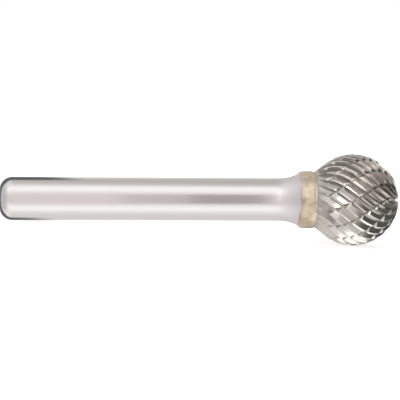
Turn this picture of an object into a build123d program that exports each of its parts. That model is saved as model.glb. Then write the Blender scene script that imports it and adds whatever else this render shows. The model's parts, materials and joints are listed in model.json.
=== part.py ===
from build123d import *
import math
import os

# A carbide burr for a die grinder: a ground steel shank, a carbide ball with
# right-hand teeth crossed by left-hand chip breakers, and the braze that joins
# them. Each piece is drawn along +X, from the shank's free end at X = 0 to the
# ball's tip, and then laid down as the burr comes to rest: on two teeth of the
# ball and on the round of the shank's end, with the surface at Z = 0.

# ---- Shank, mm
SHANK_DIAMETER = 6.0
OVERALL_LENGTH = 55.8
END_ROUND_RADIUS = 1.75        # round on the edge of the free end
COLLAR_DIAMETER = 7.8          # seat that the head is brazed to
COLLAR_LENGTH = 0.35
FLARE_RADIUS = 5.0             # hollow curve from the shank up to the collar

# ---- Cutting head, mm
BALL_DIAMETER = 12.8
ROOT_DIAMETER = 7.8            # short neck under the ball
NECK_LENGTH = 1.5              # from the joint to where the cone starts
ROOT_SLOPE = 38.5              # degrees of the cone that leads into the ball

# ---- Braze, mm
JOINT_GAP = 0.12               # between the two brazed faces
BEAD_ON_COLLAR = 0.34          # how far the outer bead runs over the collar
BEAD_ON_CONE = 0.12            # and up the head's cone, past the neck
BEAD_RISE = 0.09               # how far it stands out over the joint
BEAD_EDGE = 0.03               # its thickness at its two edges

# ---- Teeth: twist is in radians of turn for each ball radius along the axis
TOOTH_COUNT = 26
TOOTH_TWIST = 0.8
TOOTH_DEPTH = 0.5
LAND_WIDTH = 0.17              # what is left of the ball along each crest
RAKE_LEAN = 12.0               # degrees that the cutting face leans back
FLUTE_NECK_END = 142.0         # degrees from the tip where the flutes run out
FLUTE_TIP_END = 9.0
FLUTE_RUN_OUT = 16.0           # degrees over which each end of a flute rises

# ---- Chip breakers, which cross the teeth the other way
BREAKER_COUNT = 13
BREAKER_TWIST = -0.65
BREAKER_TURN = -7.2            # degrees about the axis, of the first one
BREAKER_DEPTH = 0.4
BREAKER_WIDTH = 0.64
BREAKER_NECK_END = 138.0
BREAKER_TIP_END = 24.0
BREAKER_RUN_OUT = 14.0

# ---- V notch ground across the tip
NOTCH_DEPTH = 0.85
NOTCH_ANGLE = 44.0             # degrees between its two walls
NOTCH_TURN = 85.0              # degrees about the axis

# ---- How the cutters are made
CUTTER_STANDOFF = 0.06         # how far each one reaches outside the ball
FLUTE_SECTIONS = 9
BREAKER_SECTIONS = 7

shank_radius = SHANK_DIAMETER / 2
collar_radius = COLLAR_DIAMETER / 2
root_radius = ROOT_DIAMETER / 2
ball_radius = BALL_DIAMETER / 2
ball_x = OVERALL_LENGTH - ball_radius
tooth_pitch = 360 / TOOTH_COUNT

# The head's cone touches the ball, so it starts where the ball has its slope.
cone_polar = 90 + ROOT_SLOPE
cone_end_x = ball_x - ball_radius * math.sin(math.radians(ROOT_SLOPE))
cone_end_r = ball_radius * math.cos(math.radians(ROOT_SLOPE))
cone_start_x = cone_end_x - (cone_end_r - root_radius) / math.tan(math.radians(ROOT_SLOPE))

# The joint follows the head, and the shank fills what is left of the length.
head_start = cone_start_x - NECK_LENGTH
shank_length = head_start - JOINT_GAP
collar_start = shank_length - COLLAR_LENGTH
flare_start = collar_start - math.sqrt(
    FLARE_RADIUS ** 2 - (FLARE_RADIUS - collar_radius + shank_radius) ** 2)

# At rest the ball touches on the crests either side of its lowest line.
crest_half_gap = math.radians(tooth_pitch / 2)
seat_height = ball_radius * math.cos(crest_half_gap)
end_round_r = shank_radius - END_ROUND_RADIUS
lever = ball_x - END_ROUND_RADIUS
rest_tilt = math.degrees(
    math.asin((seat_height - END_ROUND_RADIUS) / math.hypot(lever, end_round_r))
    - math.atan2(end_round_r, lever))
first_crest = 90 - tooth_pitch / 2 + math.degrees(
    TOOTH_TWIST * math.sin(math.radians(rest_tilt)))


def shank():
    """The steel shank, turned in one piece with its flare and collar."""
    turn = math.degrees(math.acos(1 - (collar_radius - shank_radius) / FLARE_RADIUS))
    profile = make_face([
        Line((0, 0), (0, shank_radius)),
        Line((0, shank_radius), (flare_start, shank_radius)),
        CenterArc((flare_start, shank_radius + FLARE_RADIUS), FLARE_RADIUS, 270, turn),
        Line((collar_start, collar_radius), (shank_length, collar_radius)),
        Line((shank_length, collar_radius), (shank_length, 0)),
        Line((shank_length, 0), (0, 0)),
    ])
    body = revolve(profile, Axis.X)
    return fillet(body.edges().sort_by(Axis.X)[0], END_ROUND_RADIUS)


def head_blank():
    """The carbide ball on its cone and short neck, before the teeth are ground."""
    through = (ball_x + ball_radius * math.cos(math.radians(70)),
               ball_radius * math.sin(math.radians(70)))
    profile = make_face([
        Line((head_start, 0), (head_start, root_radius)),
        Line((head_start, root_radius), (cone_start_x, root_radius)),
        Line((cone_start_x, root_radius), (cone_end_x, cone_end_r)),
        ThreePointArc((cone_end_x, cone_end_r), through, (OVERALL_LENGTH, 0)),
        Line((OVERALL_LENGTH, 0), (head_start, 0)),
    ])
    return revolve(profile, Axis.X)


def braze_joint():
    """Braze between the two faces, with the bead that ran out over both edges."""
    start = shank_length - BEAD_ON_COLLAR
    crown = head_start + NECK_LENGTH * 0.6
    end = cone_start_x + BEAD_ON_CONE
    end_r = root_radius + BEAD_ON_CONE * math.tan(math.radians(ROOT_SLOPE)) + BEAD_EDGE
    profile = make_face(Polyline(
        (start, 0), (start, collar_radius + BEAD_EDGE), (shank_length, collar_radius + BEAD_RISE),
        (crown, root_radius + BEAD_RISE), (end, end_r), (end, 0), close=True))
    return revolve(profile, Axis.X) - shank() - head_blank()


def surface_radius(polar):
    """Distance from the ball's centre to the head's surface, on the ball or its cone."""
    return ball_radius / math.cos(math.radians(max(0.0, polar - cone_polar)))


def spiral_plane(polar, turn, twist):
    """Plane across a spiral on the head, Y out of the ball and Z towards the tip.

    The polar angle is counted from the tip, and the turn about the axis from
    -Y towards -Z, both in degrees."""
    a = math.radians(polar)
    b = math.radians(turn) + twist * math.cos(a)
    out = Vector(math.cos(a), -math.sin(a) * math.cos(b), -math.sin(a) * math.sin(b))
    tipward = Vector(math.sin(a), math.cos(a) * math.cos(b), math.cos(a) * math.sin(b))
    around = Vector(0, math.sin(b), -math.cos(b))
    along = (tipward + around * (twist * math.sin(a) ** 2)).normalized()
    origin = Vector(ball_x, 0, 0) + out * surface_radius(polar)
    return Plane(origin, x_dir=out.cross(along), z_dir=along)


def crest_distance(polar):
    """Distance between two crests, square across them."""
    a = math.radians(polar)
    lean = math.atan(TOOTH_TWIST * math.sin(a) ** 2)
    return ball_radius * math.sin(a) * math.radians(tooth_pitch) * math.cos(lean)


def run_out(polar, neck_end, tip_end, length):
    """1 along most of a groove, falling to 0 at both its ends."""
    share = min(neck_end - polar, polar - tip_end) / length
    return math.sin(math.pi / 2 * max(0.0, min(1.0, share)))


def flute_section(polar):
    """One flute's outline: a steep cutting face and a long back."""
    scale = crest_distance(polar) / crest_distance(90)
    half = (crest_distance(polar) - LAND_WIDTH * scale) / 2
    depth = TOOTH_DEPTH * scale * run_out(polar, FLUTE_NECK_END, FLUTE_TIP_END, FLUTE_RUN_OUT)
    lean = math.tan(math.radians(RAKE_LEAN))
    foot = half - depth * lean
    spread = min((half + foot) / max(depth, TOOTH_DEPTH / 10), 1.2)
    plane = spiral_plane(polar, first_crest + tooth_pitch / 2, TOOTH_TWIST)
    return plane * make_face(Polyline(
        (half + CUTTER_STANDOFF * lean, CUTTER_STANDOFF), (foot, -depth),
        (-half - CUTTER_STANDOFF * spread, CUTTER_STANDOFF), close=True))


def breaker_section(polar):
    """One chip breaker's outline, a V."""
    share = run_out(polar, BREAKER_NECK_END, BREAKER_TIP_END, BREAKER_RUN_OUT)
    depth = BREAKER_DEPTH * share
    half = BREAKER_WIDTH / 2 * (0.4 + 0.6 * share)
    half = half * (1 + CUTTER_STANDOFF / max(depth, BREAKER_DEPTH / 4))
    plane = spiral_plane(polar, BREAKER_TURN, BREAKER_TWIST)
    return plane * make_face(Polyline(
        (half, CUTTER_STANDOFF), (0, -depth), (-half, CUTTER_STANDOFF), close=True))


def cutters(section, neck_end, tip_end, stops, count):
    """One groove lofted along its spiral, and its copies about the axis."""
    step = (neck_end - tip_end) / (stops - 1)
    groove = loft([section(neck_end - step * i) for i in range(stops)])
    return [groove.rotate(Axis.X, 360 / count * i) for i in range(count)]


def tip_notch():
    """V-shaped cutter across the tip, where the teeth would otherwise meet."""
    half = NOTCH_DEPTH * 2 * math.tan(math.radians(NOTCH_ANGLE / 2))
    bottom = OVERALL_LENGTH - NOTCH_DEPTH
    outline = make_face(Polyline((bottom, 0), (bottom + NOTCH_DEPTH * 2, half),
                                 (bottom + NOTCH_DEPTH * 2, -half), close=True))
    return extrude(outline, ball_radius / 2, both=True).rotate(Axis.X, NOTCH_TURN)


def cutting_head():
    """The carbide head with its teeth ground."""
    flutes = cutters(flute_section, FLUTE_NECK_END + 1, FLUTE_TIP_END,
                     FLUTE_SECTIONS, TOOTH_COUNT)
    breakers = cutters(breaker_section, BREAKER_NECK_END + 1, BREAKER_TIP_END - 1,
                       BREAKER_SECTIONS, BREAKER_COUNT)
    return head_blank() - flutes - [*breakers, tip_notch()]


def laid_down(piece):
    """A piece moved from its drawn place along +X to where it lies at rest."""
    tilt = math.radians(rest_tilt)
    low_x = (END_ROUND_RADIUS * math.cos(tilt) + end_round_r * math.sin(tilt)
             - END_ROUND_RADIUS)
    high_x = ball_x * math.cos(tilt) + ball_radius
    lift = seat_height - ball_x * math.sin(tilt)
    return Location((-(low_x + high_x) / 2, 0, lift), (0, -rest_tilt, 0)) * piece


if __name__ == "__main__":
    os.makedirs("parts", exist_ok=True)
    pieces = {"shank": shank(), "braze_joint": braze_joint(), "cutting_head": cutting_head()}
    for name, piece in pieces.items():
        export_step(laid_down(piece), os.path.join("parts", name + ".step"),
                    write_pcurves=False)
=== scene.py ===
"""Looks of a ball-ended carbide burr that lies on a pale table.

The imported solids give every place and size. This file dresses the ground
steel shank and the toothed carbide head, models the lumpy braze bead between
them, and sets up the table, the surround, the cards that only reflections
see, and the camera.

Lengths are in metres where nothing else is said. The burr is drawn along +X
from the middle of the shank's free end, and laid down by BurrAxis.matrix.
"""

import json
import logging
import math
from dataclasses import dataclass
from enum import Enum

import bpy
from mathutils import Matrix, Vector


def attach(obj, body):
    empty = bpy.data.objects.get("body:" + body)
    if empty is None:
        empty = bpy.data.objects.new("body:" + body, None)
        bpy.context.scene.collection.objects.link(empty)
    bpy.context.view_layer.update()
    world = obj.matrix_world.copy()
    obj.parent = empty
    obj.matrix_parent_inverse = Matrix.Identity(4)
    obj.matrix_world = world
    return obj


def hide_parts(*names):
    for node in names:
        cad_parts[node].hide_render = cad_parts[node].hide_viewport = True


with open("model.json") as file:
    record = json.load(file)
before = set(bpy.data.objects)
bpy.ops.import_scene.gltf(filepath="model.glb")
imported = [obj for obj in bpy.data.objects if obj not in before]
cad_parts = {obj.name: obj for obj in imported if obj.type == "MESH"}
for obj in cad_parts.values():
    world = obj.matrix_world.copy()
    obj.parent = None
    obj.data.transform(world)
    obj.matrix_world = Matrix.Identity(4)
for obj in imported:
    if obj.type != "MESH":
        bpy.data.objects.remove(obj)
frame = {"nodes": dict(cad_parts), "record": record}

LOG = logging.getLogger("burr")
MM = 0.001
# Distance of the shank mount's point from the free end, along the axis.
MOUNT_AT = 20.4701 * MM

Colour = tuple[float, float, float]
Pair = tuple[float, float]
Socket = bpy.types.NodeSocket


class Push(Enum):
    """Ways in which a layer of lumps moves the skin of the braze."""

    ALONG = "X"
    OUTWARD = "NORMAL"


@dataclass(frozen=True)
class BurrAxis:
    """The burr's own axis, as it lies: distances run from the shank's free end.

    Attributes:
        foot: place of the shank's free end on the axis.
        along: unit vector from the free end towards the ball.
    """

    foot: Vector
    along: Vector

    @classmethod
    def from_record(cls, record: dict, mount_at: float) -> "BurrAxis":
        """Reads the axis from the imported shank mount.

        Args:
            record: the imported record.
            mount_at: distance of the mount's point from the free end.

        Returns:
            The axis as it lies.
        """
        mount = record["mounts"][0]
        along = -Vector(mount["axis"]).normalized()
        return cls(Vector(mount["pos_m"]) - along * mount_at, along)

    @property
    def tilt(self) -> float:
        """Rise of the axis towards the ball, in radians."""
        return math.asin(self.along.z)

    @property
    def above(self) -> Vector:
        """Unit vector square to the axis, upwards."""
        return Vector((-self.along.z, 0.0, self.along.x))

    def matrix(self) -> Matrix:
        """Matrix that lays down what is drawn along +X from the origin."""
        return Matrix.Translation(self.foot) @ Matrix.Rotation(-self.tilt, 4, "Y")

    def side(self, turn: float) -> Vector:
        """Unit vector square to the axis, at a turn round it.

        Args:
            turn: degrees from level at the front, up being positive.

        Returns:
            The vector.
        """
        level = Vector((0.0, -1.0, 0.0))
        angle = math.radians(turn)
        return level * math.cos(angle) + self.above * math.sin(angle)

    def spot(self, distance: float, out: float = 0.0, turn: float = 0.0) -> Vector:
        """Point at a distance along the axis and out from it, at a turn as in side."""
        return self.matrix() @ Vector((distance, 0.0, 0.0)) + self.side(turn) * out


class Nodes:
    """A small helper that adds and links shader nodes in one tree."""

    def __init__(self, tree: bpy.types.NodeTree) -> None:
        """Keeps the tree to add to."""
        self.tree = tree

    def add(self, kind: str, label: str = "", **settings: object) -> bpy.types.Node:
        """Adds a node and sets its properties.

        Args:
            kind: Blender's node type name.
            label: what the node is for.
            **settings: properties of the node by name.

        Returns:
            The new node.
        """
        node = self.tree.nodes.new(kind)
        node.label = label
        for name, value in settings.items():
            setattr(node, name, value)
        return node

    def feed(self, value: object, into: Socket) -> None:
        """Links an output to an input, or sets the input's plain value.

        Args:
            value: an output, a number, a vector, or a colour with its alpha.
            into: the input.
        """
        if isinstance(value, Socket):
            self.tree.links.new(value, into)
        else:
            into.default_value = value

    def math(self, operation: str, a: object, b: object = 0.0) -> Socket:
        """Adds a Math node.

        Args:
            operation: Blender's name of the operation.
            a: first output or number.
            b: second output or number.

        Returns:
            The node's output.
        """
        node = self.add("ShaderNodeMath", operation=operation)
        for socket, value in zip(node.inputs, (a, b)):
            self.feed(value, socket)
        return node.outputs[0]

    def split(self, vector: Socket) -> tuple[Socket, Socket, Socket]:
        """Splits a vector.

        Args:
            vector: what is split.

        Returns:
            Its X, Y and Z.
        """
        node = self.add("ShaderNodeSeparateXYZ")
        self.feed(vector, node.inputs[0])
        return node.outputs["X"], node.outputs["Y"], node.outputs["Z"]

    def join(self, x: Socket, y: Socket, z: object = 0.0) -> Socket:
        """Joins three parts into a vector.

        Args:
            x: along X.
            y: along Y.
            z: along Z, an output or a number.

        Returns:
            The vector.
        """
        node = self.add("ShaderNodeCombineXYZ")
        for socket, value in zip(node.inputs, (x, y, z)):
            self.feed(value, socket)
        return node.outputs[0]

    def scaled(self, vector: Socket, scale: object, label: str) -> Socket:
        """Multiplies a vector or a colour.

        Args:
            vector: what is multiplied.
            scale: an output or a number.
            label: what the node is for.

        Returns:
            The product.
        """
        node = self.add("ShaderNodeVectorMath", label, operation="SCALE")
        self.feed(vector, node.inputs[0])
        self.feed(scale, node.inputs["Scale"])
        return node.outputs[0]

    def fit(self, value: Socket, source: Pair = (0.0, 1.0), target: Pair = (0.0, 1.0),
            label: str = "", smooth: bool = False) -> Socket:
        """Maps one range onto another, and holds the result at its ends.

        Args:
            value: what is mapped.
            source: the values that give the target's two ends.
            target: the result's two ends.
            label: what the node is for.
            smooth: whether the change starts and ends softly.

        Returns:
            The result.
        """
        node = self.add("ShaderNodeMapRange", label,
                        interpolation_type="SMOOTHSTEP" if smooth else "LINEAR")
        names = ("From Min", "From Max", "To Min", "To Max")
        for name, end in zip(names, (*source, *target)):
            node.inputs[name].default_value = end
        self.feed(value, node.inputs["Value"])
        return node.outputs["Result"]

    def ramp(self, value: Socket, stops: list[tuple[float, Colour]]) -> Socket:
        """Adds a colour ramp.

        Args:
            value: what runs through the ramp.
            stops: pairs of a place from 0 to 1 and a colour.

        Returns:
            The ramp's colour.
        """
        node = self.add("ShaderNodeValToRGB")
        points = node.color_ramp.elements
        while len(points) < len(stops):
            points.new(0.5)
        for point, (place, colour) in zip(points, stops):
            point.position = place
            point.color = (*colour, 1.0)
        self.feed(value, node.inputs["Fac"])
        return node.outputs["Color"]

    def mix(self, share: Socket, below: Socket | Colour, over: Socket | Colour,
            label: str) -> Socket:
        """Lays one colour over another.

        Args:
            share: how much of the upper colour shows.
            below: the lower colour.
            over: the upper colour.
            label: what the node is for.

        Returns:
            The mixed colour.
        """
        node = self.add("ShaderNodeMix", label, data_type="RGBA")
        self.feed(share, node.inputs["Factor"])
        for name, value in (("A", below), ("B", over)):
            plain = not isinstance(value, Socket)
            self.feed((*value, 1.0) if plain else value, node.inputs[name])
        return node.outputs["Result"]

    def noise(self, place: Socket, label: str, scale: float, detail: float,
              roughness: float = 0.5) -> Socket:
        """Adds a noise texture.

        Args:
            place: the coordinates that it reads.
            label: what the node is for.
            scale: lumps in one unit of the coordinates.
            detail: layers of finer lumps.
            roughness: how strong the finer lumps are.

        Returns:
            The noise, from 0 to 1 around 0.5.
        """
        node = self.add("ShaderNodeTexNoise", label, noise_dimensions="3D")
        node.inputs["Scale"].default_value = scale
        node.inputs["Detail"].default_value = detail
        node.inputs["Roughness"].default_value = roughness
        self.feed(place, node.inputs["Vector"])
        return node.outputs["Fac"]

    def bump(self, height: Socket, label: str, strength: float, depth: float) -> Socket:
        """Adds a Bump node.

        Args:
            height: the relief, from 0 to 1.
            label: what the node is for.
            strength: how much of the relief shows.
            depth: the relief's full height.

        Returns:
            The normal.
        """
        node = self.add("ShaderNodeBump", label)
        node.inputs["Strength"].default_value = strength
        node.inputs["Distance"].default_value = depth
        self.feed(height, node.inputs["Height"])
        return node.outputs["Normal"]


def drawn_coordinates(nodes: Nodes, axis: BurrAxis) -> Socket:
    """Adds Object coordinates turned so that X runs along the burr's axis.

    Args:
        nodes: the tree to add to.
        axis: the burr's axis as it lies.

    Returns:
        The coordinates, from the shank's free end.
    """
    turn = nodes.add("ShaderNodeMapping", vector_type="TEXTURE")
    turn.inputs["Location"].default_value = axis.foot
    turn.inputs["Rotation"].default_value = (0.0, -axis.tilt, 0.0)
    nodes.feed(nodes.add("ShaderNodeTexCoord").outputs["Object"], turn.inputs["Vector"])
    return turn.outputs["Vector"]


def grinding_lines() -> bpy.types.NodeTree:
    """Node group for the fine lines that grinding leaves, made once.

    Returns:
        A group that takes coordinates whose X runs across the lines, the lines'
        spacing and how far they wander, and gives the lines' height and a broad
        blotch mask.
    """
    name = "Grinding lines"
    if name in bpy.data.node_groups:
        return bpy.data.node_groups[name]
    group = bpy.data.node_groups.new(name, "ShaderNodeTree")
    for socket, way, kind in (("Vector", "INPUT", "Vector"), ("Spacing", "INPUT", "Float"),
                              ("Wander", "INPUT", "Float"), ("Height", "OUTPUT", "Float"),
                              ("Blotch", "OUTPUT", "Float")):
        group.interface.new_socket(socket, in_out=way, socket_type="NodeSocket" + kind)
    nodes = Nodes(group)
    entry = nodes.add("NodeGroupInput").outputs
    leave = nodes.add("NodeGroupOutput").inputs
    x, y, z = nodes.split(entry["Vector"])
    across = nodes.math("DIVIDE", x, entry["Spacing"])
    wander = nodes.math("DIVIDE", entry["Wander"], entry["Spacing"])
    stretched = nodes.join(across, nodes.math("MULTIPLY", y, wander),
                           nodes.math("MULTIPLY", z, wander))
    lines = nodes.noise(stretched, "lines", scale=1.0, detail=4.0, roughness=0.6)
    blotch = nodes.noise(entry["Vector"], "blotches", scale=420.0, detail=3.0)
    nodes.feed(lines, leave["Height"])
    nodes.feed(blotch, leave["Blotch"])
    return group


def add_lines(nodes: Nodes, place: Socket, spacing: float,
              wander: float) -> tuple[Socket, Socket]:
    """Places the shared grinding lines in a material.

    Args:
        nodes: the material's tree.
        place: coordinates whose X runs across the lines.
        spacing: distance between lines.
        wander: how much the lines change along their length.

    Returns:
        The lines' height and the blotch mask.
    """
    node = nodes.add("ShaderNodeGroup", "grinding lines")
    node.node_tree = grinding_lines()
    for name, value in (("Vector", place), ("Spacing", spacing), ("Wander", wander)):
        nodes.feed(value, node.inputs[name])
    return node.outputs["Height"], node.outputs["Blotch"]


def new_material(name: str,
                 metallic: float) -> tuple[bpy.types.Material, Nodes, bpy.types.Node]:
    """Makes a material with a Principled shader.

    Args:
        name: the material's name.
        metallic: 1 for bare metal.

    Returns:
        The material, its node helper and its Principled node.
    """
    material = bpy.data.materials.new(name)
    material.use_nodes = True
    shader = material.node_tree.nodes["Principled BSDF"]
    shader.inputs["Metallic"].default_value = metallic
    return material, Nodes(material.node_tree), shader


@dataclass(frozen=True)
class GroundSteel:
    """Centreless-ground steel, faintly tinted and dulled beside the braze.

    Attributes:
        axis: the burr's axis as it lies.
        colour: bare steel.
        tint: steel that the braze heated.
        tint_span: distances along the burr where the tint starts and is full.
        roughness: of the bare steel.
        roughness_spread: what the blotches take from the roughness and add to it.
        dull_span: distances along the burr where the dull skin starts and is full.
        dulling: roughness that the dull skin adds.
        line_spacing: distance between grinding lines.
        line_wander: how much the lines change round the shank.
        line_strength: how much of the lines' relief shows.
        line_depth: height of the lines' relief.
    """

    axis: BurrAxis
    colour: Colour = (0.79, 0.765, 0.76)
    tint: Colour = (0.66, 0.60, 0.64)
    tint_span: Pair = (38.5 * MM, 41.6 * MM)
    roughness: float = 0.17
    roughness_spread: Pair = (0.05, 0.06)
    dull_span: Pair = (38.0 * MM, 40.2 * MM)
    dulling: float = 0.34
    line_spacing: float = 0.05 * MM
    line_wander: float = 0.03
    line_strength: float = 0.12
    line_depth: float = 0.002 * MM

    def material(self) -> bpy.types.Material:
        """Builds the material.

        Returns:
            The material.
        """
        material, nodes, shader = new_material("ground steel", 1.0)
        place = drawn_coordinates(nodes, self.axis)
        height, blotch = add_lines(nodes, place, self.line_spacing, self.line_wander)
        along = nodes.split(place)[0]
        heat = nodes.fit(along, self.tint_span, label="heat tint by the braze", smooth=True)
        tone = nodes.mix(nodes.math("MULTIPLY", heat, blotch), self.colour, self.tint,
                         "steel to tint")
        less, more = self.roughness_spread
        rough = nodes.fit(blotch, target=(self.roughness - less, self.roughness + more),
                          label="roughness")
        dull = nodes.fit(along, self.dull_span, (0.0, self.dulling),
                         "duller where the braze heated it", smooth=True)
        relief = nodes.bump(height, "grinding lines", self.line_strength, self.line_depth)
        nodes.feed(tone, shader.inputs["Base Color"])
        nodes.feed(nodes.math("ADD", rough, dull), shader.inputs["Roughness"])
        nodes.feed(relief, shader.inputs["Normal"])
        return material


@dataclass(frozen=True)
class BrazeAlloy:
    """Silver braze, pale gold and clouded, with a frozen skin.

    Attributes:
        axis: the burr's axis as it lies.
        metallic: 1 would be bare metal; its skin is a little less.
        pale: its light clouds.
        deep: its dark clouds.
        cloud_edges: noise up to which it is deep, and from which it is pale.
        cloud_scale: clouds in a metre.
        cloud_detail: layers of finer clouds.
        roughness: of the skin.
        roughness_spread: what the clouds take from the roughness and add to it.
        grain: size of the skin's wrinkles.
        grain_wander: how much the wrinkles change round the bead.
        grain_strength: how much of the wrinkles' relief shows.
        grain_depth: height of the wrinkles' relief.
    """

    axis: BurrAxis
    metallic: float = 0.6
    pale: Colour = (0.74, 0.635, 0.49)
    deep: Colour = (0.54, 0.45, 0.33)
    cloud_edges: Pair = (0.34, 0.58)
    cloud_scale: float = 900.0
    cloud_detail: float = 5.0
    roughness: float = 0.42
    roughness_spread: Pair = (0.1, 0.14)
    grain: float = 0.12 * MM
    grain_wander: float = 1.0
    grain_strength: float = 0.5
    grain_depth: float = 0.03 * MM

    def material(self) -> bpy.types.Material:
        """Builds the material.

        Returns:
            The material.
        """
        material, nodes, shader = new_material("silver braze", self.metallic)
        place = drawn_coordinates(nodes, self.axis)
        height, _ = add_lines(nodes, place, self.grain, self.grain_wander)
        cloud = nodes.noise(place, "colour of the braze", self.cloud_scale, self.cloud_detail)
        tone = nodes.ramp(cloud, list(zip(self.cloud_edges, (self.deep, self.pale))))
        less, more = self.roughness_spread
        rough = nodes.fit(cloud, target=(self.roughness - less, self.roughness + more),
                          label="roughness")
        skin = nodes.bump(height, "frozen skin", self.grain_strength, self.grain_depth)
        nodes.feed(tone, shader.inputs["Base Color"])
        nodes.feed(rough, shader.inputs["Roughness"])
        nodes.feed(skin, shader.inputs["Normal"])
        return material


@dataclass(frozen=True)
class GrooveSet:
    """Teeth or chip breakers that spiral round the ball at even turns.

    Attributes:
        count: how many go round.
        twist: turn in radians for each ball radius along the axis.
        first: turn of the first one at the ball's middle, in radians from -Y
            towards -Z.
    """

    count: int
    twist: float
    first: float

    def helix(self, nodes: Nodes, turn: Socket, forward: Socket, radius: float) -> Socket:
        """Turn about the axis less the spiral's own, the same all along one groove."""
        lead = nodes.math("MULTIPLY", forward, self.twist / radius)
        return nodes.math("SUBTRACT", turn, lead)

    def place_in_pitch(self, nodes: Nodes, helix: Socket) -> Socket:
        """Place between one groove or crest and the next.

        Args:
            nodes: the material's tree.
            helix: what helix gives.

        Returns:
            From -0.5 to 0.5 of the pitch, 0 on the crest or groove.
        """
        from_first = nodes.math("SUBTRACT", helix, self.first)
        turns = nodes.math("DIVIDE", from_first, math.tau / self.count)
        return nodes.math("SUBTRACT", turns, nodes.math("ROUND", turns))


@dataclass(frozen=True)
class Band:
    """A range of values with soft edges outside it.

    Attributes:
        low: its lower end.
        high: its upper end.
        soft: width of each soft edge.
    """

    low: float
    high: float
    soft: float

    def mask(self, nodes: Nodes, value: Socket) -> Socket:
        """Mask of 1 inside the range.

        Args:
            nodes: the material's tree.
            value: what is tested.

        Returns:
            The mask.
        """
        centre, half = (self.low + self.high) / 2, (self.high - self.low) / 2
        away = nodes.math("ABSOLUTE", nodes.math("SUBTRACT", value, centre))
        return nodes.fit(away, (half + self.soft, half), smooth=True)


@dataclass(frozen=True)
class ToothPlace:
    """Where a point of the head lies among the teeth.

    Attributes:
        grain: coordinates across and along the teeth.
        depth: depth under the lands.
        crest: share of the pitch from the nearest cutting edge.
        nick: share of the pitch from the nearest chip breaker.
        dulling: roughness that the neck adds.
    """

    grain: Socket
    depth: Socket
    crest: Socket
    nick: Socket
    dulling: Socket


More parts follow.
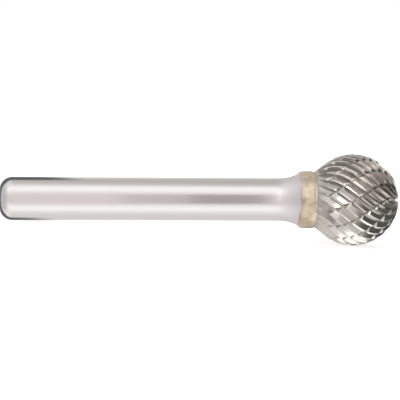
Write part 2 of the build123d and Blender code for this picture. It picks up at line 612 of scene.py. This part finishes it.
@dataclass(frozen=True)
class GroundCarbide:
    """Tungsten carbide: lands with a painted glint, ground flutes, dull bottoms darkened by
    painted shade.

    Attributes:
        axis: the burr's axis as it lies.
        ball_at: distance of the ball's centre from the shank's free end.
        ball_radius: radius over the lands.
        teeth: the cutting edges.
        breakers: the chip breakers.
        cone_span: where the unground cone starts and is full, in ball radii.
        cone_depth: least depth that the cone counts as, so that the lands' painted glint stays
            off it.
        neck_span: where the duller neck starts and is full, in ball radii.
        neck_dulling: roughness that the neck adds.
        colour: backs of the flutes.
        land_glint_and_wear: cutting edges, light with painted glint and partly with wear.
        valley_shade: painted shade in the bottoms of the flutes.
        full_depth: depth that counts as 1 for the next two.
        land_edge: depths where the land ends and the back starts.
        valley_edge: depths where the back ends and the bottom, with its painted shade, is
            full.
        edge: places in the pitch of the teeth that are cutting edge, the only places where the
            lands' painted glint shows.
        edge_depth: depth below which the place in the pitch doesn't matter.
        nick_glint_wall: places in the pitch of the breakers whose side gets a painted
            highlight.
        nick_glint_depth: depths at which that painted highlight shows.
        nick_glint_share: how much of the painted highlight shows.
        streak_noise: line heights that give the darkest and the lightest streak.
        streak_level: what those streaks multiply the colour by.
        roughness: of the backs, by the land.
        back_dulling: roughness that the backs gain towards the bottoms.
        dull: roughness of the lands and the bottoms.
        line_spacing: distance between wheel marks.
        line_wander: how much the marks change along a tooth.
        line_strength: how much of the marks' relief shows.
        line_depth: height of the marks' relief.
    """

    axis: BurrAxis
    ball_at: float = 49.4 * MM
    ball_radius: float = 6.4 * MM
    teeth: GrooveSet = GrooveSet(26, 0.8, math.radians(86.305))
    breakers: GrooveSet = GrooveSet(13, -0.65, math.radians(-7.2))
    cone_span: Pair = (-0.62, -0.70)
    cone_depth: float = 0.25 * MM
    neck_span: Pair = (-0.74, -0.81)
    neck_dulling: float = 0.34
    colour: Colour = (0.56, 0.53, 0.495)
    # Painted glint, partly wear: light colour of the lands.
    land_glint_and_wear: Colour = (0.92, 0.90, 0.88)
    # Painted shade: dark colour of the flutes' bottoms.
    valley_shade: Colour = (0.22, 0.205, 0.185)
    full_depth: float = 0.56 * MM
    land_edge: Pair = (0.03, 0.06)
    valley_edge: Pair = (0.74, 0.92)
    edge: Band = Band(0.0, 0.2, 0.03)
    edge_depth: float = 0.03 * MM
    # Painted highlight on the sides of the chip breakers.
    nick_glint_wall: Band = Band(0.01, 0.1, 0.01)
    nick_glint_depth: Band = Band(0.02 * MM, 0.15 * MM, 0.03 * MM)
    nick_glint_share: float = 0.9
    streak_noise: Pair = (0.25, 0.75)
    streak_level: Pair = (0.55, 1.4)
    roughness: float = 0.14
    back_dulling: float = 0.03
    dull: float = 0.4
    line_spacing: float = 0.11 * MM
    line_wander: float = 0.05
    line_strength: float = 0.35
    line_depth: float = 0.004 * MM

    def tooth_place(self, nodes: Nodes) -> ToothPlace:
        """Works out where a point lies among the teeth.

        Args:
            nodes: the material's tree.

        Returns:
            The point's place.
        """
        x, y, z = nodes.split(drawn_coordinates(nodes, self.axis))
        radius = self.ball_radius
        forward = nodes.math("SUBTRACT", x, self.ball_at)
        turn = nodes.math("ARCTAN2", nodes.math("MULTIPLY", z, -1.0),
                          nodes.math("MULTIPLY", y, -1.0))
        length = nodes.add("ShaderNodeVectorMath", operation="LENGTH")
        nodes.feed(nodes.join(forward, y, z), length.inputs[0])
        depth = nodes.math("SUBTRACT", radius, length.outputs["Value"])
        cone = nodes.fit(forward, tuple(radius * share for share in self.cone_span),
                         (0.0, self.cone_depth), "unground cone by the neck")
        neck = nodes.fit(forward, tuple(radius * share for share in self.neck_span),
                         (0.0, self.neck_dulling), "duller neck by the braze")
        tooth = self.teeth.helix(nodes, turn, forward, radius)
        breaker = self.breakers.helix(nodes, turn, forward, radius)
        return ToothPlace(
            grain=nodes.join(nodes.math("MULTIPLY", tooth, radius), forward),
            depth=nodes.math("MAXIMUM", depth, cone),
            crest=self.teeth.place_in_pitch(nodes, tooth),
            nick=self.breakers.place_in_pitch(nodes, breaker),
            dulling=neck)

    def tone(self, nodes: Nodes, at: ToothPlace, share: Socket, marks: Socket) -> Socket:
        """Colour of the head, from the painted glint on its cutting edges to the painted shade
        in the flutes' bottoms.

        Args:
            nodes: the material's tree.
            at: the point's place among the teeth.
            share: its depth as a share of the full depth.
            marks: height of the wheel marks.

        Returns:
            The colour.
        """
        # By depth: painted glint on the lands, plain colour on the backs, painted shade in the
        # bottoms.
        colours = (self.land_glint_and_wear, self.land_glint_and_wear, self.colour, self.colour, self.valley_shade)
        by_depth = nodes.ramp(share, list(zip(self.depth_stops(), colours)))
        deeper = nodes.math("GREATER_THAN", at.depth, self.edge_depth)
        whole = nodes.math("MAXIMUM", self.edge.mask(nodes, at.crest), deeper)
        # Painted glint: shallow places off the cutting edge take the plain colour, so the
        # glint stays a thin line.
        glint_and_shade_tone = nodes.mix(whole, self.colour, by_depth, "painted glint only on the cutting edge")
        streak = nodes.fit(marks, self.streak_noise, self.streak_level, "streaks")
        # Painted highlight: the breakers' sides take the lands' light colour.
        breaker_glint = nodes.math("MULTIPLY", self.nick_glint_wall.mask(nodes, at.nick),
                          self.nick_glint_depth.mask(nodes, at.depth))
        return nodes.mix(nodes.math("MULTIPLY", breaker_glint, self.nick_glint_share),
                         nodes.scaled(glint_and_shade_tone, streak, "streaked tone"), self.land_glint_and_wear,
                         "painted highlight on the chip breakers")

    def depth_stops(self) -> tuple[float, ...]:
        """Shares of the full depth between which the colour and roughness change."""
        return (0.0, *self.land_edge, *self.valley_edge)

    def material(self) -> bpy.types.Material:
        """Builds the material.

        Returns:
            The material.
        """
        material, nodes, shader = new_material("ground carbide", 1.0)
        at = self.tooth_place(nodes)
        marks, _ = add_lines(nodes, at.grain, self.line_spacing, self.line_wander)
        share = nodes.math("DIVIDE", at.depth, self.full_depth)
        levels = (self.dull, self.dull, self.roughness, self.roughness + self.back_dulling,
                  self.dull)
        rough = nodes.ramp(share, [(stop, (level, level, level))
                                   for stop, level in zip(self.depth_stops(), levels)])
        relief = nodes.bump(marks, "wheel marks", self.line_strength, self.line_depth)
        nodes.feed(self.tone(nodes, at, share, marks), shader.inputs["Base Color"])
        nodes.feed(nodes.math("ADD", rough, at.dulling), shader.inputs["Roughness"])
        nodes.feed(relief, shader.inputs["Normal"])
        return material


def dress(node_name: str, material: bpy.types.Material) -> None:
    """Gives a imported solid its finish.

    Args:
        node_name: the solid's name.
        material: the finish.
    """
    mesh = frame["nodes"][node_name].data
    mesh.materials.clear()
    mesh.materials.append(material)
    LOG.info("%s dressed in %s", node_name, material.name)


@dataclass
class Shank:
    """The steel shank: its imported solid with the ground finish."""

    finish: GroundSteel

    def build(self) -> None:
        """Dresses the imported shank."""
        dress("shank", self.finish.material())


@dataclass
class CuttingHead:
    """The toothed carbide ball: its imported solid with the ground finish."""

    finish: GroundCarbide

    def build(self) -> None:
        """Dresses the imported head."""
        dress("cutting_head", self.finish.material())


@dataclass(frozen=True)
class Lumps:
    """One layer of lumps on the braze.

    Attributes:
        name: what the layer makes.
        size: size of its lumps.
        push: the way in which it moves the skin.
        reach: how far apart the highest and the lowest skin come to lie.
    """

    name: str
    size: float
    push: Push
    reach: float


@dataclass
class BrazeBead:
    """The braze that ran out around the joint, lumpy and with uneven edges.

    Attributes:
        finish: the braze's finish.
        outline: distances from the free end and radii, in mm; both ends dip
            under the steel and the carbide, so the edges show where they meet.
        core_radius: radius of the hidden inside of the ring.
        around: points around the ring.
        divisions: times that each face is divided in four.
        wander: how far the edges stray along the axis.
        swell: how far the skin stands up or sinks.
    """

    finish: BrazeAlloy
    outline: tuple[Pair, ...] = (
        (41.62, 3.60), (41.84, 3.84), (42.05, 3.94), (42.4, 3.99), (42.8, 4.01),
        (43.2, 4.01), (43.5, 3.99), (43.75, 3.95), (44.0, 3.8))
    core_radius: float = 3.2 * MM
    around: int = 224
    divisions: int = 2
    wander: float = 0.6 * MM
    swell: float = 0.07 * MM

    def layers(self) -> tuple[Lumps, ...]:
        """Lumps of the skin.

        Returns:
            The layers, in the order in which they are laid on.
        """
        return (Lumps("edges", 4.2 * MM, Push.ALONG, self.wander),
                Lumps("drips", 0.85 * MM, Push.ALONG, self.wander * 0.25),
                Lumps("swell", 1.5 * MM, Push.OUTWARD, self.swell),
                Lumps("lumps", 0.4 * MM, Push.OUTWARD, self.swell * 0.5))

    def draw_ring(self) -> bpy.types.Object:
        """Draws the ring by extruding a circle through its outline.

        Returns:
            The ring, along +X.
        """
        bpy.ops.object.select_all(action="DESELECT")
        bpy.ops.mesh.primitive_circle_add(vertices=self.around, radius=self.core_radius,
                                          fill_type="NOTHING", location=(0, 0, 0))
        ring = bpy.context.object
        ring.name = "braze_bead"
        bpy.ops.object.mode_set(mode="EDIT")
        bpy.ops.mesh.select_all(action="SELECT")
        place, radius = self.outline[0][0], self.core_radius
        bpy.ops.transform.translate(value=(0, 0, place * MM))
        path = [*self.outline, (self.outline[-1][0], self.core_radius / MM)]
        for next_place, next_radius in path:
            bpy.ops.mesh.extrude_region_move(
                TRANSFORM_OT_translate={"value": (0, 0, (next_place - place) * MM)})
            share = next_radius * MM / radius
            bpy.ops.transform.resize(value=(share, share, 1.0),
                                     center_override=(0, 0, next_place * MM))
            place, radius = next_place, next_radius * MM
        bpy.ops.mesh.select_all(action="DESELECT")
        bpy.ops.mesh.select_non_manifold()
        bpy.ops.mesh.bridge_edge_loops()
        bpy.ops.mesh.select_all(action="SELECT")
        bpy.ops.mesh.normals_make_consistent(inside=False)
        bpy.ops.object.mode_set(mode="OBJECT")
        ring.data.transform(Matrix.Rotation(math.pi / 2, 4, "Y"))
        return ring

    def roughen(self, ring: bpy.types.Object) -> None:
        """Divides the ring finely and lets its skin and edges wander.

        Args:
            ring: the ring along +X.
        """
        bpy.context.view_layer.objects.active = ring
        fine = ring.modifiers.new("fine", "SUBSURF")
        fine.levels = fine.render_levels = self.divisions
        bpy.ops.object.modifier_apply(modifier=fine.name)
        # One unit of the lumps' texture is as long as this empty: 1 mm.
        rule = bpy.data.objects.new("lump scale", None)
        rule.scale = (MM, MM, MM)
        bpy.context.scene.collection.objects.link(rule)
        bpy.context.view_layer.update()
        for layer in self.layers():
            cloud = bpy.data.textures.new("braze " + layer.name, "CLOUDS")
            cloud.noise_scale = layer.size / MM
            cloud.noise_depth = 2
            move = ring.modifiers.new(layer.name, "DISPLACE")
            move.texture = cloud
            move.texture_coords = "OBJECT"
            move.texture_coords_object = rule
            move.direction = layer.push.value
            move.strength = layer.reach
            move.mid_level = 0.5
            bpy.ops.object.modifier_apply(modifier=move.name)
        bpy.data.objects.remove(rule)

    def build(self) -> None:
        """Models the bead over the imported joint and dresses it."""
        dress("braze_joint", self.finish.material())
        ring = self.draw_ring()
        self.roughen(ring)
        ring.data.transform(self.finish.axis.matrix())
        ring.data.materials.append(self.finish.material())
        bpy.ops.object.select_all(action="DESELECT")
        ring.select_set(True)
        bpy.ops.object.shade_smooth()
        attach(ring, "root")
        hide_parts("braze_joint")
        LOG.info("braze bead: %d faces", len(ring.data.polygons))


@dataclass(frozen=True)
class Card:
    """A card that only reflections see.

    Attributes:
        name: the card's name.
        centre: its middle.
        facing: direction square to it.
        upright: direction of its height.
        size: width and height.
        colour: what it shows.
        fade: share of its half width and half height over which its edges thin out.
    """

    name: str
    centre: Vector
    facing: Vector
    upright: Vector
    size: Pair
    colour: Colour
    fade: Pair

    def material(self) -> bpy.types.Material:
        """Builds a plain card colour with soft edges.

        Returns:
            The material.
        """
        material, nodes, shader = new_material(self.name, 0.0)
        material.node_tree.nodes.remove(shader)
        x, y, _ = nodes.split(nodes.add("ShaderNodeTexCoord").outputs["Object"])
        edges = [nodes.fit(nodes.math("ABSOLUTE", away),
                           (length / 2, length / 2 * (1.0 - fade)),
                           label="soft edge", smooth=True)
                 for away, length, fade in zip((x, y), self.size, self.fade)]
        clear = nodes.add("ShaderNodeBsdfTransparent")
        shown = nodes.add("ShaderNodeEmission")
        nodes.feed((*self.colour, 1.0), shown.inputs["Color"])
        mix = nodes.add("ShaderNodeMixShader")
        parts = (nodes.math("MULTIPLY", *edges), clear.outputs[0], shown.outputs[0])
        for socket, value in zip(mix.inputs, parts):
            nodes.feed(value, socket)
        out = material.node_tree.nodes["Material Output"]
        nodes.feed(mix.outputs[0], out.inputs["Surface"])
        return material

    def place(self) -> None:
        """Stands the card up."""
        bpy.ops.object.select_all(action="DESELECT")
        bpy.ops.mesh.primitive_plane_add(size=1.0)
        card = bpy.context.object
        card.name = self.name
        back = self.facing.normalized()
        right = self.upright.cross(back).normalized()
        turn = Matrix((right, back.cross(right), back)).transposed().to_4x4()
        card.matrix_world = Matrix.Translation(self.centre) @ turn
        card.data.transform(Matrix.Diagonal((*self.size, 1.0, 1.0)))
        card.data.materials.append(self.material())
        card.visible_camera = False
        card.visible_diffuse = False
        card.visible_shadow = False
        card.visible_transmission = False


@dataclass(frozen=True)
class Glow:
    """A soft patch of the surround, bright or dark.

    Attributes:
        turn: degrees round the burr's axis from the camera, up being positive.
        lean: degrees out of the plane square to the axis, towards the ball.
        reach: degrees from its middle to where it has faded out.
        core: degrees from its middle to where it starts to fade.
        colour: what it shows.
    """

    turn: float
    lean: float
    reach: float
    core: float
    colour: Colour

    def over(self, nodes: Nodes, way: Socket, below: Socket, view_turn: float) -> Socket:
        """Lays the patch over the surround's colour.

        Args:
            nodes: the surround's tree.
            way: direction in the burr's own frame.
            below: the colour so far.
            view_turn: how far the camera stands above level, in degrees.

        Returns:
            The new colour.
        """
        turn, lean = math.radians(self.turn + view_turn), math.radians(self.lean)
        near = nodes.add("ShaderNodeVectorMath", operation="DOT_PRODUCT")
        nodes.feed(way, near.inputs[0])
        nodes.feed((math.sin(lean), -math.cos(lean) * math.cos(turn),
                    math.cos(lean) * math.sin(turn)), near.inputs[1])
        edge = (math.cos(math.radians(self.reach)), math.cos(math.radians(self.core)))
        mask = nodes.fit(near.outputs["Value"], edge, label="patch", smooth=True)
        return nodes.mix(mask, below, self.colour, "patch over")


@dataclass(frozen=True)
class PaleTable:
    """Matt pale table top that shows nearly white to the camera.

    Attributes:
        colour: what it reflects.
        roughness: of the top.
        gloss: its specular level.
        lift: light that it adds for the camera alone.
    """

    colour: Colour = (0.9, 0.9, 0.9)
    roughness: float = 0.6
    gloss: float = 0.2
    lift: float = 0.6

    def material(self) -> bpy.types.Material:
        """Builds the material.

        Returns:
            The material.
        """
        material, nodes, shader = new_material("table", 0.0)
        shader.inputs["Base Color"].default_value = (*self.colour, 1.0)
        shader.inputs["Roughness"].default_value = self.roughness
        shader.inputs["Specular IOR Level"].default_value = self.gloss
        seen = nodes.add("ShaderNodeLightPath").outputs["Is Camera Ray"]
        shown = nodes.add("ShaderNodeEmission")
        nodes.feed(nodes.math("MULTIPLY", seen, self.lift), shown.inputs["Strength"])
        both = nodes.add("ShaderNodeAddShader")
        for socket, value in zip(both.inputs, (shader.outputs[0], shown.outputs[0])):
            nodes.feed(value, socket)
        out = material.node_tree.nodes["Material Output"]
        nodes.feed(both.outputs[0], out.inputs["Surface"])
        return material


@dataclass
class Studio:
    """Table, surround, cards and camera.

    Attributes:
        axis: the burr's axis as it lies.
        look_at: distance along the axis that the frame is centred on.
        drop: how far the frame's centre lies below the axis.
        view_turn: how far the camera stands round the axis above level, in degrees.
        view_yaw: how far it stands towards the free end, in degrees.
        view_roll: how far the axis falls to the right in the frame, in degrees.
        frame_across: width of the frame, in pixels.
        pixels_per_metre: scale of the frame at the axis.
        lens: focal length, in mm.
        sensor: width of the sensor, in mm.
        clip: distances from the camera between which it sees.
        table_side: length of the table's sides.
        table_top: the table's finish.
        bands: levels of the surround by degrees round the axis from the camera.
        glows: soft patches over the bands.
        front_shift: how far the two front cards are set back along the axis.
    """

    axis: BurrAxis
    look_at: float = 27.93 * MM
    drop: float = 0.116 * MM
    view_turn: float = 4.8
    view_yaw: float = 3.5
    view_roll: float = 0.235
    frame_across: float = 400.0
    pixels_per_metre: float = 7155.0
    lens: float = 250.0
    sensor: float = 36.0
    clip: Pair = (0.01, 20.0)
    table_side: float = 3.0
    table_top: PaleTable = PaleTable()
    bands: tuple[tuple[float, Colour], ...] = (
        (0, (0.84, 0.78, 0.775)), (20, (0.86, 0.80, 0.795)), (34, (0.98, 0.97, 0.965)),
        (46, (1.17, 1.17, 1.17)), (60, (1.19, 1.19, 1.19)), (71, (1.04, 1.04, 1.04)),
        (85, (0.90, 0.89, 0.885)), (109, (0.79, 0.775, 0.77)), (131, (0.79, 0.775, 0.77)),
        (180, (0.84, 0.83, 0.83)))
    glows: tuple[Glow, ...] = (
        Glow(-120, -62, 70, 30, (1.04, 0.99, 0.96)),
        Glow(110, 40, 55, 34, (0.58, 0.555, 0.53)),
        Glow(0, 90, 56, 32, (0.13, 0.145, 0.13)),
        Glow(0, -90, 62, 4, (0.60, 0.61, 0.62)))
    front_shift: float = 1.9 * MM

    def shank_cards(self) -> tuple[Card, ...]:
        """Cards that the shank reflects.

        Returns:
            Two cards in front of it and one behind its free end.
        """
        turn, above = self.view_turn, self.axis.above
        spot, front = self.axis.spot, self.axis.side(self.view_turn)
        shift = self.axis.along * self.front_shift
        return (
            Card("front card, dark", spot(35.8 * MM, 30 * MM, turn) - shift, front, above,
                 (12.5 * MM, 34 * MM), (0.49, 0.455, 0.455), (0.14, 0.5)),
            Card("front card, grey", spot(29 * MM, 31 * MM, turn) - shift, front, above,
                 (22 * MM, 34 * MM), (0.67, 0.635, 0.635), (0.4, 0.5)),
            Card("free end card", Vector((-46 * MM, 30 * MM, 0)), Vector((0, -1, 0)),
                 Vector((0, 0, 1)), (58 * MM, 120 * MM), (0.13, 0.145, 0.15), (0.2, 0.1)))

    def ball_cards(self) -> tuple[Card, ...]:
        """Cards that the ball and its neck reflect.

        Returns:
            One under the ball, one before it, one behind it, one before the neck.
        """
        spot, above, behind = self.axis.spot, self.axis.above, -128.0
        front = self.axis.side(self.view_turn)
        under = spot(63 * MM) + Vector((0, -9 * MM, -22 * MM))
        return (
            Card("bright card under the ball", under, Vector((0, 0, 1)),
                 Vector((0, 1, 0)), (30 * MM, 28 * MM), (2.1, 2.06, 2.02), (0.2, 0.3)),
            Card("bright card before the ball", spot(48 * MM, 18 * MM, 38), front, above,
                 (11 * MM, 13 * MM), (2.5, 2.48, 2.44), (0.3, 0.3)),
            Card("dark card behind the ball", spot(52 * MM, 24 * MM, behind),
                 self.axis.side(behind), above, (18 * MM, 14 * MM), (0.16, 0.165, 0.16),
                 (0.4, 0.4)),
            Card("pale card before the neck", spot(43.2 * MM, 18 * MM, 26), front, above,
                 (6.5 * MM, 24 * MM), (1.45, 1.4, 1.37), (0.4, 0.3)))

    def view_basis(self) -> tuple[Vector, Vector, Vector]:
        """Directions of the camera.

        Returns:
            Its right, up and back vectors.
        """
        along = self.axis.along
        yaw, roll = math.radians(self.view_yaw), math.radians(self.view_roll)
        back = math.cos(yaw) * self.axis.side(self.view_turn) - math.sin(yaw) * along
        back.normalize()
        right = (along - back * along.dot(back)).normalized()
        turned = right * math.cos(roll) + back.cross(right) * math.sin(roll)
        return turned, back.cross(turned), back

    def camera(self) -> None:
        """Sets the camera square to the axis, in the frame's scale."""
        right, up, back = self.view_basis()
        data = bpy.data.cameras.new("camera")
        data.lens = self.lens
        data.sensor_width = self.sensor
        data.clip_start, data.clip_end = self.clip
        distance = self.frame_across / self.pixels_per_metre * self.lens / self.sensor
        centre = self.axis.spot(self.look_at) - up * self.drop
        turn = Matrix((right, up, back)).transposed().to_4x4()
        camera = bpy.data.objects.new("camera", data)
        camera.matrix_world = Matrix.Translation(centre + back * distance) @ turn
        bpy.context.scene.collection.objects.link(camera)
        bpy.context.scene.camera = camera

    def table(self) -> None:
        """Lays the pale table under the burr."""
        bpy.ops.object.select_all(action="DESELECT")
        bpy.ops.mesh.primitive_plane_add(size=self.table_side, location=(0, 0, 0))
        table = bpy.context.object
        table.name = "table"
        table.data.materials.append(self.table_top.material())
        table.visible_glossy = False

    def surround(self) -> None:
        """Makes the surround: white to the camera, banded round the axis otherwise."""
        world = bpy.data.worlds.new("surround")
        world.use_nodes = True
        bpy.context.scene.world = world
        nodes = Nodes(world.node_tree)
        turn = nodes.add("ShaderNodeMapping", vector_type="TEXTURE")
        turn.inputs["Rotation"].default_value = (0.0, -self.axis.tilt, 0.0)
        nodes.feed(nodes.add("ShaderNodeTexCoord").outputs["Generated"], turn.inputs["Vector"])
        way = turn.outputs["Vector"]
        _, y, z = nodes.split(way)
        angle = nodes.math("ARCTAN2", z, nodes.math("MULTIPLY", y, -1.0))
        from_view = nodes.math("SUBTRACT", angle, math.radians(self.view_turn))
        folded = nodes.math("ARCCOSINE", nodes.math("COSINE", from_view))
        # The ramp's colours stay within 1, and the peak is multiplied back.
        peak = max(max(colour) for _, colour in self.bands)
        stops = [(turned / 180.0, tuple(part / peak for part in colour))
                 for turned, colour in self.bands]
        level = nodes.scaled(nodes.ramp(nodes.math("DIVIDE", folded, math.pi), stops), peak,
                             "bands")
        for glow in self.glows:
            level = glow.over(nodes, way, level, self.view_turn)
        seen = nodes.add("ShaderNodeLightPath").outputs["Is Camera Ray"]
        shown = nodes.mix(seen, level, (1.0, 1.0, 1.0), "white to the camera")
        nodes.feed(shown, world.node_tree.nodes["Background"].inputs["Color"])

    def build(self) -> None:
        """Sets up the stage in order."""
        self.camera()
        self.table()
        self.surround()
        for card in (*self.shank_cards(), *self.ball_cards()):
            card.place()
        LOG.info("studio ready")


def main() -> None:
    """Builds the burr's pieces and the studio."""
    logging.basicConfig(level=logging.INFO, format="%(name)s: %(message)s")
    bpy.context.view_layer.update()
    axis = BurrAxis.from_record(frame["record"], MOUNT_AT)
    Shank(GroundSteel(axis)).build()
    BrazeBead(BrazeAlloy(axis)).build()
    CuttingHead(GroundCarbide(axis)).build()
    Studio(axis).build()
    bpy.context.scene.view_settings.view_transform = "Standard"


if __name__ == "__main__":
    main()
